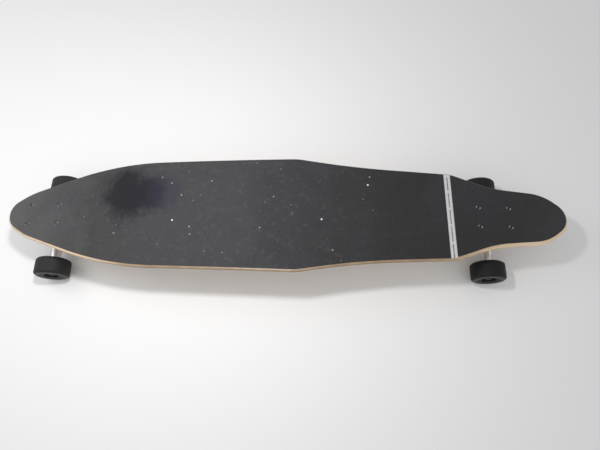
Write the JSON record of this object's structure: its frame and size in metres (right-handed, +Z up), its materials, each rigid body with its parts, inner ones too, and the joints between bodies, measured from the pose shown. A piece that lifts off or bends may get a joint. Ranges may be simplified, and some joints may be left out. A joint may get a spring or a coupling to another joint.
{
  "type": "longboard skateboard",
  "caption": "Arched longboard skateboard: grip-taped wooden deck with a bare rounded rim and a pale cross strip, on lean-to-steer trucks with black urethane wheels on ball bearings.",
  "frame": {"origin": "on the floor, midway along and across the board", "axes": "+X from nose to tail along the board, +Y to the rider's right when facing the nose, +Z up"},
  "size_m": [1.1626, 0.245, 0.1344],
  "materials": {
    "deck_wood": "clear matt lacquer over maple plies",
    "grip_black": "black abrasive grit",
    "strip_white": "plain white vinyl",
    "riser_rubber": "moulded black rubber",
    "truck_casting": "polished cast aluminium",
    "pivot_plastic": "black moulded plastic",
    "kingpin_steel": "zinc-plated steel",
    "fastener_steel": "zinc-plated steel",
    "washer_steel": "plain steel",
    "bushing_urethane": "dark moulded urethane",
    "bolt_black": "black oxide steel",
    "axle_steel": "plain steel",
    "bearing_steel": "ground steel",
    "shield_metal": "pressed steel",
    "wheel_urethane": "matt black urethane",
    "core_plastic": "black moulded nylon"
  },
  "bodies": {
    "board": {"deck": "deck_wood", "grip_tape_main": "grip_black", "grip_strip": "strip_white", "grip_tape_tail": "grip_black", "nose_riser_pad": "riser_rubber", "nose_baseplate": "truck_casting", "nose_pivot_cup": "pivot_plastic", "nose_kingpin": "kingpin_steel", "nose_kingpin_nut": "fastener_steel", "nose_board_bushing": "bushing_urethane", "nose_road_bushing": "bushing_urethane", "nose_bushing_washers": "washer_steel", "nose_mounting_bolts": "bolt_black", "nose_mounting_nuts": "fastener_steel", "tail_riser_pad": "riser_rubber", "tail_baseplate": "truck_casting", "tail_pivot_cup": "pivot_plastic", "tail_kingpin": "kingpin_steel", "tail_kingpin_nut": "fastener_steel", "tail_board_bushing": "bushing_urethane", "tail_road_bushing": "bushing_urethane", "tail_bushing_washers": "washer_steel", "tail_mounting_bolts": "bolt_black", "tail_mounting_nuts": "fastener_steel"},
    "nose_hanger_set": {"nose_hanger": "truck_casting", "nose_axle": "axle_steel", "nose_axle_nuts": "fastener_steel", "nose_speed_rings": "washer_steel", "nose_bearing_spacers": "washer_steel", "nose_bearing_inner_rings": "bearing_steel"},
    "nose_left_wheel": {"nose_left_tyre": "wheel_urethane", "nose_left_wheel_core": "core_plastic", "nose_left_bearing_outer_rings": "bearing_steel", "nose_left_bearing_shields": "shield_metal"},
    "nose_left_balls": {"nose_left_bearing_ball_sets": "bearing_steel"},
    "nose_right_wheel": {"nose_right_tyre": "wheel_urethane", "nose_right_wheel_core": "core_plastic", "nose_right_bearing_outer_rings": "bearing_steel", "nose_right_bearing_shields": "shield_metal"},
    "nose_right_balls": {"nose_right_bearing_ball_sets": "bearing_steel"},
    "tail_hanger_set": {"tail_hanger": "truck_casting", "tail_axle": "axle_steel", "tail_axle_nuts": "fastener_steel", "tail_speed_rings": "washer_steel", "tail_bearing_spacers": "washer_steel", "tail_bearing_inner_rings": "bearing_steel"},
    "tail_left_wheel": {"tail_left_tyre": "wheel_urethane", "tail_left_wheel_core": "core_plastic", "tail_left_bearing_outer_rings": "bearing_steel", "tail_left_bearing_shields": "shield_metal"},
    "tail_left_balls": {"tail_left_bearing_ball_sets": "bearing_steel"},
    "tail_right_wheel": {"tail_right_tyre": "wheel_urethane", "tail_right_wheel_core": "core_plastic", "tail_right_bearing_outer_rings": "bearing_steel", "tail_right_bearing_shields": "shield_metal"},
    "tail_right_balls": {"tail_right_bearing_ball_sets": "bearing_steel"}
  },
  "joints": [
    {"name": "nose_steer", "type": "hinge", "parent": "board", "child": "nose_hanger_set", "pos_m": [-0.48399, 0, 0.04062], "axis": [-0.6972, 0, 0.7169], "range_deg": [-15, 15], "stiffness_Nm_per_rad": 45, "deforming": ["nose_board_bushing", "nose_road_bushing"]},
    {"name": "nose_left_spin", "type": "hinge", "parent": "nose_hanger_set", "child": "nose_left_wheel", "pos_m": [-0.50739, -0.0888, 0.036], "axis": [0, 1, 0], "continuous": true},
    {"name": "nose_left_ball_spin", "type": "hinge", "parent": "nose_hanger_set", "child": "nose_left_balls", "pos_m": [-0.50739, -0.0888, 0.036], "axis": [0, 1, 0], "continuous": true},
    {"name": "nose_right_spin", "type": "hinge", "parent": "nose_hanger_set", "child": "nose_right_wheel", "pos_m": [-0.50739, 0.0888, 0.036], "axis": [0, 1, 0], "continuous": true},
    {"name": "nose_right_ball_spin", "type": "hinge", "parent": "nose_hanger_set", "child": "nose_right_balls", "pos_m": [-0.50739, 0.0888, 0.036], "axis": [0, 1, 0], "continuous": true},
    {"name": "tail_steer", "type": "hinge", "parent": "board", "child": "tail_hanger_set", "pos_m": [0.40839, 0, 0.04062], "axis": [0.6972, 0, 0.7169], "range_deg": [-15, 15], "stiffness_Nm_per_rad": 45, "deforming": ["tail_board_bushing", "tail_road_bushing"]},
    {"name": "tail_left_spin", "type": "hinge", "parent": "tail_hanger_set", "child": "tail_left_wheel", "pos_m": [0.43179, -0.0888, 0.036], "axis": [0, 1, 0], "continuous": true},
    {"name": "tail_left_ball_spin", "type": "hinge", "parent": "tail_hanger_set", "child": "tail_left_balls", "pos_m": [0.43179, -0.0888, 0.036], "axis": [0, 1, 0], "continuous": true},
    {"name": "tail_right_spin", "type": "hinge", "parent": "tail_hanger_set", "child": "tail_right_wheel", "pos_m": [0.43179, 0.0888, 0.036], "axis": [0, 1, 0], "continuous": true},
    {"name": "tail_right_ball_spin", "type": "hinge", "parent": "tail_hanger_set", "child": "tail_right_balls", "pos_m": [0.43179, 0.0888, 0.036], "axis": [0, 1, 0], "continuous": true}
  ],
  "couplings": [
    {"joint": "nose_left_ball_spin", "follows": "nose_left_spin", "ratio": 0.632},
    {"joint": "nose_right_ball_spin", "follows": "nose_right_spin", "ratio": 0.632},
    {"joint": "tail_left_ball_spin", "follows": "tail_left_spin", "ratio": 0.632},
    {"joint": "tail_right_ball_spin", "follows": "tail_right_spin", "ratio": 0.632}
  ]
}
